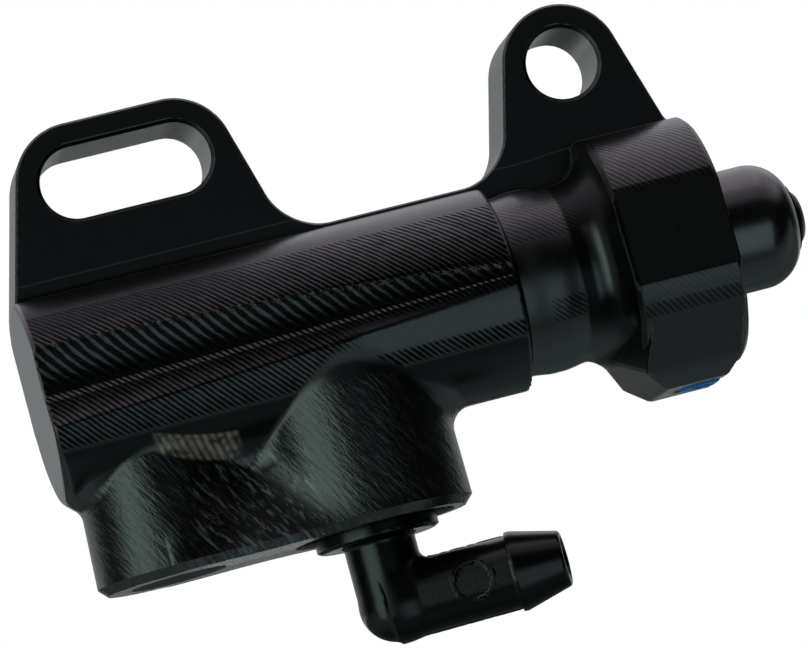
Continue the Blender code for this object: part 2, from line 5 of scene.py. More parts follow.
import bpy
import numpy as np
from mathutils import Matrix, Vector


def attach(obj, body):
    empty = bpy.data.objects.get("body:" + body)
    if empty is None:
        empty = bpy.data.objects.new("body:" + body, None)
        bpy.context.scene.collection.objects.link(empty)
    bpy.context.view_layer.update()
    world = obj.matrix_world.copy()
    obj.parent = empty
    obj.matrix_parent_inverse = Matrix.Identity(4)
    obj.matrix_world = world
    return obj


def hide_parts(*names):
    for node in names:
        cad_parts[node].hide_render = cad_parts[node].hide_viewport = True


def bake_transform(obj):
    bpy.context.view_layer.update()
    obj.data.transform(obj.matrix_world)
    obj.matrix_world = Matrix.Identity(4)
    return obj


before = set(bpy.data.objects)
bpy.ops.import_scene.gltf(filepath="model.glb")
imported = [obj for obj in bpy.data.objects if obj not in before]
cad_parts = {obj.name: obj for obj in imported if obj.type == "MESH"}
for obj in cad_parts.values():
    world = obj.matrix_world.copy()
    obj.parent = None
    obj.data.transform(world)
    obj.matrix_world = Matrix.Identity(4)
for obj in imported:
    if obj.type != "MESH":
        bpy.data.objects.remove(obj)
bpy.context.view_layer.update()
MM = 0.001

# ---- driving dimensions, mm -----------------------------------------------------
AXIS_Y = -10.5                                  # bore axis, at Z = 0
LEFT_END = -36.9
BARREL_END, BARREL_R, NECK_R = 10.4, 10.25, 9.15
COLLAR_START, COLLAR_END, COLLAR_R = 21.1, 32.0, 12.5
COLLAR_FLAT, COLLAR_TILT = 11.47, radians(2.4)  # flat on the collar's front
FLUTE_R, FLUTE_ANGLE = 7.5, radians(3.5)
FLUTE_LEFT, FLUTE_RIGHT = 1.9, 0.14             # depth at each end of the barrel
HOLE_X, HOLE_Z, HOLE_R = 22.5, 20.7, 3.6        # hole at +HOLE_X, slot at -HOLE_X
SLOT_HALF, EAR_R = 5.0, 6.0
EAR_FOOT_Z, VALLEY_Z, STEP_Z = -6, 10.85, 12.1
PLATE_RIGHT, PLATE_DEPTH = 31.4, 10.0
BLOCK_Z = -19.6                                 # underside of the port block
OUTLET_X, INLET_X = -27.8, -7.9
LUG_Z, SCREW_X, LUG_CHAMFER = -13.95, 27.3, 43.1    # chamfer plane: x - z
ELBOW_Z, ELBOW_SWING = -27.35, radians(-15.0)
BARB_R, BARB_TIP_R = 3.98, 2.8
SPRING_START, SPRING_END = -29.2, -13.2
DIAGONAL = 0.70710678                           # makes x + y a distance


# =================================================================================
# distance fields: negative inside, lengths in mm
# =================================================================================
def ease(value, start, end):
    """Smooth step from 0 at start to 1 at end."""
    t = np.clip((value - start) / (end - start), 0.0, 1.0)
    return t * t * (3 - 2 * t)


def merge(a, b, radius):
    """Union with a concave fillet."""
    over_a = np.maximum(radius - a, 0.0)
    over_b = np.maximum(radius - b, 0.0)
    return np.maximum(radius, np.minimum(a, b)) - np.sqrt(over_a * over_a + over_b * over_b)


def trim(a, b, radius):
    """Intersection with a rounded edge."""
    over_a = np.maximum(radius + a, 0.0)
    over_b = np.maximum(radius + b, 0.0)
    return np.minimum(-radius, np.maximum(a, b)) + np.sqrt(over_a * over_a + over_b * over_b)


def bevel(a, b, leg):
    """Intersection with a flat 45 degree chamfer."""
    return np.maximum(np.maximum(a, b), (a + b + leg) * DIAGONAL)


def overlap(*fields):
    return reduce(np.maximum, fields)


def either(*fields):
    return reduce(np.minimum, fields)


def radial(a, b):
    return np.sqrt(a * a + b * b)


def slab(value, middle, half):
    return np.abs(value - middle) - half


def disc(distance, radius, along, middle, half):
    """Cylinder from the distance to its axis and its span along that axis."""
    return np.maximum(distance - radius, slab(along, middle, half))


def thread_wave(dx, dy, z, pitch):
    """Triangle wave from 0 to 1 that winds round an upright axis."""
    return np.abs(np.mod(z / pitch + np.arctan2(dy, dx) / (2 * pi), 1.0) - 0.5) * 2


def polygon(x, z, corners):
    """Distance to a convex outline of (x, z) corners, counter-clockwise."""
    nearest, side = np.inf, -np.inf
    for (ax, az), (bx, bz) in zip(corners, corners[1:] + corners[:1]):
        ex, ez = bx - ax, bz - az
        square = ex * ex + ez * ez
        t = np.clip(((x - ax) * ex + (z - az) * ez) / square, 0, 1)
        nearest = np.minimum(nearest, (x - ax - t * ex) ** 2 + (z - az - t * ez) ** 2)
        side = np.maximum(side, ((x - ax) * ez - (z - az) * ex) / sqrt(square))
    return np.where(side > 0, np.sqrt(nearest), -np.sqrt(nearest))


# ---- housing --------------------------------------------------------------------
def plate_outline(x, z):
    """Mounting plate: two ears, flaring downwards, over a base strip."""
    def flare(degrees):
        return tan(radians(degrees)) * (HOLE_Z - EAR_FOOT_Z)

    slot_left, slot_right = -HOLE_X - SLOT_HALF, -HOLE_X + SLOT_HALF
    left_ear = polygon(x, z, [(slot_left - flare(14.8), EAR_FOOT_Z),
                              (slot_right + flare(15.6), EAR_FOOT_Z),
                              (slot_right, HOLE_Z), (slot_left, HOLE_Z)]) - EAR_R
    right_ear = polygon(x, z, [(HOLE_X - flare(14.6), EAR_FOOT_Z),
                               (HOLE_X + flare(16.4), EAR_FOOT_Z),
                               (HOLE_X, HOLE_Z)]) - EAR_R
    right_ear = np.maximum(right_ear, x - PLATE_RIGHT)
    valley = trim(np.maximum(z - VALLEY_Z, -30.0 - x), x - 24.0, 0.3)
    step = overlap(z - STEP_Z, 22.0 - x, x - PLATE_RIGHT)
    base = np.maximum(either(valley, step), -8.0 - z)
    upper, right = ease(z, 7.0, 9.0), ease(x, 26, 29)
    fillet = 0.3 + 3.9 * upper * (1 - right) + 0.9 * right
    return merge(either(left_ear, right_ear), base, fillet)


def turned_body(x, r):
    """Barrel and the neck right of it, whose radius swells and then narrows."""
    barrel = trim(r - BARREL_R, x - BARREL_END, 0.25)
    neck_r = NECK_R - 0.2 + 0.25 * ease(x, 11.1, 13.6) - 0.34 * ease(x, 14.4, 17.2)
    return merge(barrel, disc(r, neck_r, x, 16.0, 8.0), 0.4)


def collar_and_lug(x, yy, z, r):
    collar = bevel(bevel(r - COLLAR_R, COLLAR_START - x, 0.4), x - COLLAR_END, 0.45)
    across = np.abs(yy)
    splay = radians(34)
    flank = across * cos(splay) - z * sin(splay) - COLLAR_R
    lug = trim(flank, (across - z - 19.1) * DIAGONAL, 0.12)
    lug = trim(lug, LUG_Z - z, 0.15)
    lug = np.maximum(lug, x - (COLLAR_END - 0.1))
    sides = (   # plane, edge radius
        ((x - 31.9 - 0.22 * (z + 6.5)) * 0.977, 0.15),                  # leaning right end
        ((x - z - LUG_CHAMFER) * DIAGONAL, 0.15),                       # lower right chamfer
        ((8.9 - x - z) * DIAGONAL, 0.3),                                # slope below the neck
        ((-6.05 * (x - 21.0) + 2.7 * (across - 7.05)) / 6.625, 0.15),   # tapered left corners
    )
    for plane, edge in sides:
        lug = trim(lug, plane, edge)
    lug = np.maximum(lug, z + COLLAR_R * sin(splay))
    flat = z * sin(COLLAR_TILT) - yy * cos(COLLAR_TILT) - COLLAR_FLAT
    return bevel(either(collar, lug), flat, 0.14)


def add_port_block(form, x, y, z):
    """A web that thickens downwards between two upright, tapering bosses."""
    spread = np.clip((-10.0 - z) / 9.6, 0, 1.1) ** 1.3
    front = -14.4 - 4.75 * spread
    back = -6.4 + 3.8 * spread
    web = overlap((front - y) * 0.9, (y - back) * 0.9, OUTLET_X - x, x - INLET_X, z + 2.0)
    form = merge(form, web, 2.6)
    rise = np.clip((z - BLOCK_Z) / 18.6, 0, 1.1)
    yy = y - AXIS_Y
    outlet_boss = radial(x - OUTLET_X, yy) - (8.0 - 0.9 * rise)
    inlet_boss = radial(x - INLET_X, yy) - (10.05 - 0.25 * rise)
    bosses = np.maximum(either(outlet_boss, inlet_boss), z + 2.5)
    wide = np.maximum(ease(-z, 8.0, 12.0) * ease(x, -31.0, -27.0), ease(x, -2.0, 2.5))
    fillet = 0.5 + 1.9 * wide + 1.2 * ease(-x, 31.0, 34.5)
    return bevel(merge(form, bosses, fillet), BLOCK_Z - z, 0.85)


def flute_cut(x, yy, z):
    """Long round groove on the front of the barrel, shallower to the right."""
    u = (x - LEFT_END) / (BARREL_END - LEFT_END)
    reach = BARREL_R + FLUTE_R - (FLUTE_LEFT + (FLUTE_RIGHT - FLUTE_LEFT) * u)
    flute = radial(yy + reach * cos(FLUTE_ANGLE), z - reach * sin(FLUTE_ANGLE)) - FLUTE_R
    return np.maximum(flute, x - 12.0)


def fixing_cuts(x, y, z):
    """Slot and hole through the ears, widened at both faces."""
    rim = np.clip(0.35 - np.minimum(y + PLATE_DEPTH, -y), 0, 2.0)
    beyond = np.maximum(slab(x, -HOLE_X, SLOT_HALF), 0)
    slot = radial(beyond, z - HOLE_Z) - HOLE_R - rim
    hole = radial(x - HOLE_X, z - HOLE_Z) - HOLE_R - rim
    return either(slot, hole)


def bore_cut(x, r):
    """Bore with its wider mouth and two grooves."""
    return either(np.maximum(r - 6.5, -30.0 - x),
                  np.maximum(r - 8.0 - np.clip(x - 31.7, 0, 1), 22.0 - x),
                  disc(r, 8.75, x, 24.15, 0.6),
                  disc(r, 8.65, x, 31.525, 0.325))


def outlet_cut(x, yy, z):
    """Threaded port and the narrow drilling above it."""
    hole_r = 4.1
    r = radial(x - OUTLET_X, yy)
    wave = thread_wave(x - OUTLET_X, yy, z, 1.0)
    threaded = ease(-z, 12.0, 12.6), 1 - ease(-z, 18.6, 19.1)
    wall = hole_r + 0.42 * (wave - 0.35) * threaded[0] * threaded[1]
    wall = np.maximum(wall, hole_r + (BLOCK_Z + 0.75 - z))
    port = np.maximum((r - wall) * 0.8, slab(z, -15.3, 4.9))
    return either(port, disc(r, 1.2, z, -7.5, 2.6))


def inlet_cut(x, yy, z):
    """Port, chamfered counterbore, ring groove and a drilling right of centre."""
    r = radial(x - INLET_X, yy)
    return either(disc(r, 5.0, z, -15.6, 5.0),
                  np.maximum(r - 7.8 - np.clip(BLOCK_Z + 0.35 - z, 0, 1), z + 16.9),
                  disc(r, 8.4, z, -18.7, 0.35),
                  disc(radial(x - INLET_X - 2.2, yy), 1.2, z, -8.5, 3.0))


def screw_hole_cut(x, yy, z):
    r = radial(x - SCREW_X, yy)
    return np.maximum(r - 2.65 - np.clip(LUG_Z + 0.3 - z, 0, 0.4), z + 6.5)


def housing(x, y, z):
    yy = y - AXIS_Y
    r = radial(yy, z)
    form = add_port_block(turned_body(x, r), x, y, z)
    low = ease(-z, 6.0, 9.0)
    form = merge(form, collar_and_lug(x, yy, z, r), 3.0 * (1 - low) + 1.6 * low)
    plate = np.maximum(plate_outline(x, z), -2.0 - z)
    plate = bevel(bevel(plate, -PLATE_DEPTH - y, 0.22), y, 0.3)
    form = merge(form, plate, 0.3)
    form = bevel(form, y, 0.3)
    form = trim(form, LEFT_END - x, 0.45 + 0.6 * ease(-z, 4.0, 9.0))
    form = trim(form, -flute_cut(x, yy, z), 0.12)
    cuts = either(fixing_cuts(x, y, z), bore_cut(x, r), outlet_cut(x, yy, z),
                  inlet_cut(x, yy, z), screw_hole_cut(x, yy, z))
    return np.maximum(form, -cuts)


# ---- swivel elbow ---------------------------------------------------------------
def elbow_tube(u, v, z, stem_r, arm_r):
    """Upright stem, ball corner, level arm and tapered barb. u runs along the arm."""
    tube_r = 3.65
    stem = overlap(stem_r - 3.55, ELBOW_Z - z, z + 20.0)
    arm = overlap(arm_r - tube_r, -u, u - 12.2)
    ball = np.sqrt(u * u + v * v + (z - ELBOW_Z) ** 2) - tube_r
    tube = merge(merge(stem, ball, 0.15), arm, 1.0)
    taper = BARB_R - (u - 12.5) * (BARB_R - BARB_TIP_R) / 4.5
    barb = trim(arm_r - np.minimum(taper, BARB_R), 12.05 - u, 0.12)
    tube = either(tube, trim(barb, u - 17.25, 0.3))
    # raised ring on the arm's front, and faint ridges along its top and bottom
    ring = slab(radial(u - 8.3, z - ELBOW_Z), 1.95, 0.16)
    tube = merge(tube, overlap(ring, arm_r - 3.83, v), 0.08)
    ridge = overlap(np.abs(v) - 0.1, arm_r - 3.74, 2.0 - u, u - 12.0)
    return merge(tube, ridge, 0.05)


def elbow_form(x, y, z):
    dx, dy = x - INLET_X, y - AXIS_Y
    u = dx * cos(ELBOW_SWING) + dy * sin(ELBOW_SWING)
    v = -dx * sin(ELBOW_SWING) + dy * cos(ELBOW_SWING)
    stem_r = radial(u, v)
    arm_r = radial(v, z - ELBOW_Z)
    tube = elbow_tube(u, v, z, stem_r, arm_r)
    # lower flange, waist, upper disc, and the spigot with its groove
    flange = trim(stem_r - 6.15 + 0.25 * ease(-z, 20.6, 20.9), slab(z, -20.05, 0.85), 0.25)
    waist = disc(stem_r, 5.3, z, -18.6, 0.8)
    upper = trim(stem_r - 7.3, slab(z, -17.65, 0.45), 0.12)
    spigot = trim(stem_r - 4.6 + np.clip(z + 11.35, 0, 1), slab(z, -14.3, 3.3), 0.1)
    spigot = np.maximum(spigot, -np.maximum(3.5 - stem_r, slab(z, -13.6, 1.0)))
    form = either(merge(tube, flange, 0.5), merge(waist, upper, 0.1), spigot)
    # passages, flared at their ends
    stem_bore = np.maximum(stem_r - 2.3 - np.clip(z + 11.4, 0, 1), ELBOW_Z - z)
    arm_bore = np.maximum(arm_r - 1.9 - np.clip(u - 16.95, 0, 1), -u)
    return overlap(form, -stem_bore, -arm_bore)


# ---- lock screw -----------------------------------------------------------------
def screw_form(x, y, z):
    """Upright threaded screw with a hexagon socket in its lower end."""
    screw_r = 2.35
    dx, dy = x - SCREW_X, y - AXIS_Y
    r = radial(dx, dy)
    screw = bevel(r - screw_r, -14.1 - z, 0.25)
    wave = thread_wave(dx, dy, z, 0.8)
    groove = 0.16 * wave * ease(-z, 8.4, 8.8) * (1 - ease(-z, 13.0, 13.4))
    screw = np.maximum(screw, (r - screw_r + groove) * 0.8)
    screw = bevel(screw, z + 7.75, 0.4)
    # cut just inside the lug's 45 degree chamfer
    screw = np.maximum(screw, (x - z - LUG_CHAMFER + 0.2) * 0.7071)
    angles = [radians(20 + 60 * k) for k in range(3)]
    hexagon = overlap(*(np.abs(dx * cos(a) + dy * sin(a)) - 1.0 for a in angles))
    return np.maximum(screw, -np.maximum(hexagon, z + 12.3))


# =================================================================================
# meshing
# =================================================================================
def field_at(field, points):
    return field(points[:, 0], points[:, 1], points[:, 2])


def gradient(field, points, offset=0.012):
    """Unit gradient from four samples at the corners of a tetrahedron."""
    total = np.zeros_like(points)
    for corner in ((1, -1, -1), (-1, -1, 1), (-1, 1, -1), (1, 1, 1)):
        corner = np.array(corner, float)
        total += corner * field_at(field, points + corner * offset)[:, None]
    length = np.linalg.norm(total, axis=1)
    return total / np.maximum(length, 1e-12)[:, None]


def in_chunks(function, field, points, size=200000):
    """function(field, points), run on limited batches to save memory."""
    return np.concatenate([function(field, points[i:i + size])
                           for i in range(0, len(points), size)])


def sample_grid(field, axes):
    volume = np.empty([len(a) for a in axes], np.float32)
    for i in range(0, len(axes[0]), 40):
        volume[i:i + 40] = field(axes[0][i:i + 40, None, None],
                                 axes[1][None, :, None], axes[2][None, None, :])
    return volume


def crossings(field, volume, low, pitch, axis):
    """Surface points on grid edges along one axis, the four cells round each point,
    and the same cells ordered to make an outward face."""
    b, c = (axis + 1) % 3, (axis + 2) % 3
    cells = np.array(volume.shape) - 1
    first, second = [slice(None)] * 3, [slice(None)] * 3
    first[axis], second[axis] = slice(0, -1), slice(1, None)
    near, far = volume[tuple(first)], volume[tuple(second)]
    index = np.argwhere((near < 0) != (far < 0))
    keep = (index[:, b] > 0) & (index[:, c] > 0)
    keep &= (index[:, b] < cells[b]) & (index[:, c] < cells[c])
    index = index[keep]
    v0 = near[tuple(index.T)].astype(float)
    v1 = far[tuple(index.T)].astype(float)
    starts_inside = v0 < 0

    def along_edge(t):
        points = low + pitch * index
        points[:, axis] += pitch * t
        return points

    # false position between t0 and t1, where the field is v0 and v1
    t0, t1 = np.zeros(len(index)), np.ones(len(index))
    for _ in range(3):
        t = np.clip(t0 + (t1 - t0) * v0 / (v0 - v1), t0, t1)
        value = in_chunks(field_at, field, along_edge(t))
        same = (value < 0) == (v0 < 0)
        t0, v0 = np.where(same, t, t0), np.where(same, value, v0)
        t1, v1 = np.where(same, t1, t), np.where(same, v1, value)
        v0 = np.where(v0 == v1, v0 - 1e-9, v0)
    points = along_edge(np.clip(t0 + (t1 - t0) * v0 / (v0 - v1), 0, 1))

    around = []
    for db, dc in ((-1, -1), (0, -1), (0, 0), (-1, 0)):
        cell = index.copy()
        cell[:, b] += db
        cell[:, c] += dc
        around.append((cell[:, 0] * cells[1] + cell[:, 1]) * cells[2] + cell[:, 2])
    around = np.stack(around, 1)
    return points, around, np.where(starts_inside[:, None], around, around[:, ::-1])


def tangent_meets(points, normals, owners, count):
    """Per cell, the least-squares meeting point of its crossings' tangent planes.
    owners lists four cells for each point in turn."""
    point_of = np.repeat(np.arange(len(points)), 4)

    def gather(values):
        return np.bincount(owners, weights=values[point_of], minlength=count)

    number = np.bincount(owners, minlength=count).astype(float)
    mean = np.stack([gather(points[:, k]) for k in range(3)], 1) / number[:, None]
    matrix = np.zeros((count, 3, 3))
    for i in range(3):
        for j in range(i, 3):
            matrix[:, i, j] = matrix[:, j, i] = gather(normals[:, i] * normals[:, j])
    offset = (normals * points).sum(1)
    target = np.stack([gather(normals[:, k] * offset) for k in range(3)], 1)
    target = target - np.einsum("mij,mj->mi", matrix, mean)
    matrix += np.eye(3) * 0.06      # draws weakly held points to the mean
    return mean + np.linalg.solve(matrix, target[..., None])[..., 0]


def link_object(name, mesh):
    ob = bpy.data.objects.new(name, mesh)
    bpy.context.scene.collection.objects.link(ob)
    return ob


def shade_smooth(mesh):
    mesh.polygons.foreach_set("use_smooth", np.ones(len(mesh.polygons), bool))


def contour(name, field, low, high, pitch):
    """Mesh of the surface field = 0 on a grid, one point per crossed cell, set where
    the crossings' tangent planes meet, so edges stay crisp."""
    low = np.array(low, float)
    size = np.ceil((np.array(high) - low) / pitch).astype(int) + 1
    volume = sample_grid(field, [low[i] + pitch * np.arange(size[i]) for i in range(3)])
    found = [crossings(field, volume, low, pitch, axis) for axis in range(3)]
    points, around, faces = (np.concatenate(part) for part in zip(*found))
    normals = in_chunks(gradient, field, points)
    used, owners = np.unique(around.ravel(), return_inverse=True)
    verts = tangent_meets(points, normals, owners.reshape(-1), len(used))
    cells = size - 1
    cell = np.stack([used // (cells[1] * cells[2]), (used // cells[2]) % cells[1],
                     used % cells[2]], 1)
    cell_low = low + pitch * cell
    verts = np.clip(verts, cell_low, cell_low + pitch)
    lookup = np.full(int(used.max()) + 1, -1, np.int64)
    lookup[used] = np.arange(len(used))
    quads = lookup[faces]
    # corner normals are read a little inside each face, to keep edges sharp
    corner = verts[quads]
    inset = corner + 0.3 * (corner.mean(1)[:, None] - corner)
    corner_normals = in_chunks(gradient, field, inset.reshape(-1, 3))

    mesh = bpy.data.meshes.new(name)
    mesh.vertices.add(len(verts))
    mesh.vertices.foreach_set("co", (verts * MM).astype(np.float32).ravel())
    mesh.loops.add(len(quads) * 4)
    mesh.loops.foreach_set("vertex_index", quads.astype(np.int32).ravel())
    mesh.polygons.add(len(quads))
    mesh.polygons.foreach_set("loop_start", (np.arange(len(quads)) * 4).astype(np.int32))
    mesh.update(calc_edges=True)
    mesh.validate()
    shade_smooth(mesh)
    # validate() may drop faces, and the normals would then no longer match
    if len(mesh.loops) == len(corner_normals):
        mesh.normals_split_custom_set(corner_normals.tolist())
    return link_object(name, mesh)


def smooth_object(name, verts, faces):
    mesh = bpy.data.meshes.new(name)
    mesh.from_pydata(verts, [], faces)
    mesh.update()
    shade_smooth(mesh)
    return link_object(name, mesh)


def lathe(name, profile, segments, sharp, closed):
    """(x, radius) profile turned about the bore; x falls along the outside.
    Edges steeper than sharp degrees stay sharp."""
    angles = np.arange(segments) * 2 * pi / segments
    verts, rings = [], []
    for height, r in profile:
        if r < 1e-6:
            rings.append([len(verts)] * segments)
            verts.append((0, 0, height * MM))
        else:
            rings.append(list(range(len(verts), len(verts) + segments)))
            verts += [(r * cos(t) * MM, r * sin(t) * MM, height * MM) for t in angles]
    faces = []
    for i in range(len(rings) if closed else len(rings) - 1):
        here, after = rings[i], rings[(i + 1) % len(rings)]
        for k in range(segments):
            j = (k + 1) % segments
            face = [here[k], after[k], after[j], here[j]]
            face = [face[q] for q in range(4) if face[q] != face[q - 1]]
            if len(face) > 2:
                faces.append(face)
    ob = smooth_object(name, verts, faces)
    ob.data.set_sharp_from_angle(angle=radians(sharp))
    ob.matrix_world = Matrix.Translation((0, AXIS_Y * MM, 0)) @ Matrix.Rotation(pi / 2, 4, "Y")
    return ob


def arc(x, r, radius, start, end, steps):
    """(x, radius) points round a centre, from start to end degrees."""
    angles = [radians(start + (end - start) * k / steps) for k in range(steps + 1)]
    return [(x + radius * cos(a), r + radius * sin(a)) for a in angles]


# =================================================================================
# shader graphs
# =================================================================================
class Value:
    """A shader socket; arithmetic on it adds Math nodes, and | takes the maximum."""

    def __init__(self, graph, socket):
        self.graph, self.socket = graph, socket

    def math(self, operation, *others, clamp=False):
        return self.graph.math(operation, self, *others, clamp=clamp)

    def __add__(self, other):
        return self.math("ADD", other)

    def __sub__(self, other):
        return self.math("SUBTRACT", other)

    def __rsub__(self, other):
        return self.graph.math("SUBTRACT", other, self)

    def __mul__(self, other):
        return self.math("MULTIPLY", other)

    def __truediv__(self, other):
        return self.math("DIVIDE", other)

    def __or__(self, other):
        return self.math("MAXIMUM", other)

    def __neg__(self):
        return self * -1.0

    def times_plus(self, factor, offset, clamp=False):
        return self.math("MULTIPLY_ADD", factor, offset, clamp=clamp)

    def inverse(self):
        return self.graph.math("SUBTRACT", 1.0, self, clamp=True)

    def between(self, a, b):
        """a where this is 0, b where it is 1."""
        return self.times_plus(b - a, a)

    def ramp(self, start, length):
        """0 to 1 in a straight line over a length."""
        return self.times_plus(1 / length, -start / length, clamp=True)

    def rise(self, start, end):
        """Smooth step from 0 at start to 1 at end."""
        node = self.graph.node("ShaderNodeMapRange")
        node.interpolation_type = "SMOOTHSTEP"
        node.clamp = True
        self.graph.set(node.inputs["Value"], self)
        self.graph.set(node.inputs["From Min"], start)
        self.graph.set(node.inputs["From Max"], end)
        node.inputs["To Min"].default_value = 0.0
        node.inputs["To Max"].default_value = 1.0
        return Value(self.graph, node.outputs[0])

    def fall(self, start, end):
        return self.rise(start, end).inverse()

    def band(self, low, high, soft):
        """1 between low and high, with ends softened by soft to each side."""
        up = self.rise(low - soft, low + soft)
        down = self.rise(high - soft, high + soft)
        return up.math("SUBTRACT", down, clamp=True)

    def near(self, target, inner, outer):
        """1 within inner of the target, 0 beyond outer."""
        return (self - target).math("ABSOLUTE").fall(inner, outer)

    def wave(self, pitch):
        """Sine wave between 0 and 1."""
        return (self * (2 * pi / pitch)).math("SINE").times_plus(0.5, 0.5)


class Graph:
    """Adds nodes to an emptied node tree."""

    def __init__(self, tree):
        self.tree = tree
        tree.nodes.clear()

    def node(self, kind):
        return self.tree.nodes.new(kind)

    def source(self, kind, output):
        return Value(self, self.node(kind).outputs[output])

    def set(self, socket, value):
        if isinstance(value, Value):
            self.tree.links.new(value.socket, socket)
        elif socket.type == "RGBA":
            socket.default_value = (*value, 1.0)
        else:
            socket.default_value = value

    def math(self, operation, *values, clamp=False):
        node = self.node("ShaderNodeMath")
        node.operation = operation
        node.use_clamp = clamp
        for socket, value in zip(node.inputs, values):
            self.set(socket, value)
        return Value(self, node.outputs[0])

    def vector_math(self, operation, a, b, output=0):
        node = self.node("ShaderNodeVectorMath")
        node.operation = operation
        self.set(node.inputs[0], a)
        self.set(node.inputs[1], b)
        return Value(self, node.outputs[output])

    def scaled(self, vector, factor):
        node = self.node("ShaderNodeVectorMath")
        node.operation = "SCALE"
        self.set(node.inputs[0], vector)
        self.set(node.inputs["Scale"], factor)
        return Value(self, node.outputs[0])

    def split(self, vector):
        node = self.node("ShaderNodeSeparateXYZ")
        self.set(node.inputs[0], vector)
        return [Value(self, node.outputs[i]) for i in range(3)]

    def vector(self, *parts):
        node = self.node("ShaderNodeCombineXYZ")
        for socket, value in zip(node.inputs, parts):
            self.set(socket, value)
        return Value(self, node.outputs[0])

    def noise(self, vector, scale, detail=3.0, rough=0.5, distort=0.0):
        node = self.node("ShaderNodeTexNoise")
        for key, value in (("Vector", vector), ("Scale", scale), ("Detail", detail),
                           ("Roughness", rough), ("Distortion", distort)):
            self.set(node.inputs[key], value)
        return Value(self, node.outputs["Fac"])

    def mix(self, factor, a, b):
        node = self.node("ShaderNodeMix")
        node.data_type = "RGBA"
        self.set(node.inputs[0], factor)
        self.set(node.inputs[6], a)
        self.set(node.inputs[7], b)
        return Value(self, node.outputs[2])

    def bump(self, height, strength, distance, normal=None):
        node = self.node("ShaderNodeBump")
        self.set(node.inputs["Strength"], strength)
        node.inputs["Distance"].default_value = distance
        self.set(node.inputs["Height"], height)
        if normal is not None:
            self.set(node.inputs["Normal"], normal)
        return Value(self, node.outputs[0])


class Look(Graph):
    """A new material's graph."""

    def __init__(self, name):
        self.material = bpy.data.materials.new(name)
        self.material.use_nodes = True
        super().__init__(self.material.node_tree)
        self.output = self.node("ShaderNodeOutputMaterial")
        self.place = self.source("ShaderNodeTexCoord", "Object")

    def millimetres(self):
        return self.scaled(self.place, 1000.0)

    def finish(self, settings):
        shader = self.node("ShaderNodeBsdfPrincipled")
        self.tree.links.new(shader.outputs[0], self.output.inputs[0])
        for key, value in settings.items():
            self.set(shader.inputs[key], value)
        return self.material


# =================================================================================
# black anodised finish of the housing
# =================================================================================
def housing_zones(n):
    """Places and masks shared by the finish's layers."""
    s = SimpleNamespace(p=n.millimetres())
    s.x, s.y, s.z = n.split(s.p)
    s.yy = s.y - AXIS_Y
    s.normal = n.source("ShaderNodeNewGeometry", "Normal")
    s.nx, s.ny, s.nz = n.split(s.normal)
    s.rad = (s.yy * s.yy + s.z * s.z).math("SQRT")
    theta = s.z.math("ARCTAN2", -s.yy)
    s.deg = theta * (180 / pi)      # round the bore: 0 at the front, positive upwards
    s.run = theta * BARREL_R        # the same as a length
    s.front = s.y.fall(AXIS_Y, AXIS_Y + 0.4)
    s.lean = s.nx.math("ABSOLUTE").rise(0.17, 0.30)
    s.barrel = s.x.fall(10.1, 10.3) * s.rad.fall(10.32, 10.5) * s.lean.inverse()
    # the flute's two edges in degrees, and q from 0 at the lower to 1 at the upper
    u = s.x.ramp(start=-36.5, length=46.5)
    uu = u * u
    s.top_edge = u.times_plus(-8.0, 27.5) - uu * 11.5
    low_edge = u.times_plus(8.0, -20.0) + uu * 9.0
    s.q = (s.deg - low_edge) / (s.top_edge - low_edge)
    s.coarse = s.q.band(0.5, 1.0, 0.03) * s.barrel
    return s


def ribbed_zones(s):
    """Where slanting cutter ridges show on the barrel, neck and collar."""
    x, deg, barrel = s.x, s.deg, s.barrel
    neck = x.band(10.9, 18.0, 0.2) * s.rad.fall(9.3, 9.45)
    collar = x.band(21.6, 31.5, 0.1) * s.rad.band(11.9, 12.6, 0.05)
    right_smooth = x.rise(-9.0, -5.0) * deg.band(-24.0, -5.0, 1.5)
    on_barrel = barrel * (deg.band(-33.0, 50.0, 1.5) * right_smooth.inverse())
    upper_neck = neck * deg.band(20.0, 52.0, 1.5) * 0.5
    lower_neck = neck * x.rise(12.6, 14.0) * (deg.band(-34.0, -19.0, 1.5) * 0.7)
    low_collar = collar * deg.band(-35.5, -28.5, 0.7) * 0.6
    mid_collar = collar * deg.band(-28.5, -17.0, 0.7) * 0.16
    top_collar = collar * deg.band(25.0, 72.0, 4.0) * 0.58
    zones = on_barrel | (upper_neck | lower_neck) | (low_collar | (mid_collar | top_collar))
    return zones * s.lean.inverse() * s.front


def add_cutter_pattern(n, s):
    """Ridges 0.62 mm apart, 1.1 mm in the flute's upper half, and torn flute edges."""
    s.ribs = ribbed_zones(s)
    lane = s.x + s.run * 0.88
    lane = lane + n.noise(s.p, scale=0.35, detail=2.0) * 0.28
    s.wave = s.coarse.between(lane.wave(pitch=0.62), lane.wave(pitch=1.1))
    rows = n.vector(lane * 1.6, s.run * 0.9, s.yy * 0.2)
    broken = n.noise(rows, scale=1.0, rough=0.55)
    s.fine = n.noise(n.vector(lane * 3.0, s.run, s.yy), scale=2.2, detail=4.0, rough=0.6)
    lit = s.wave + (broken - 0.5) * 1.5
    shift = s.coarse * 0.14
    s.gap = lit.fall(shift + 0.34, shift + 0.74)
    s.edge_top = s.deg.near(s.top_edge - 1.0, 0.8, 2.2)
    s.edge_low = s.q.near(0.36, 0.02, 0.06)
    s.torn = (s.edge_top | s.edge_low) * s.barrel * s.front
    s.spots = n.noise(s.p, scale=3.4, rough=0.7)


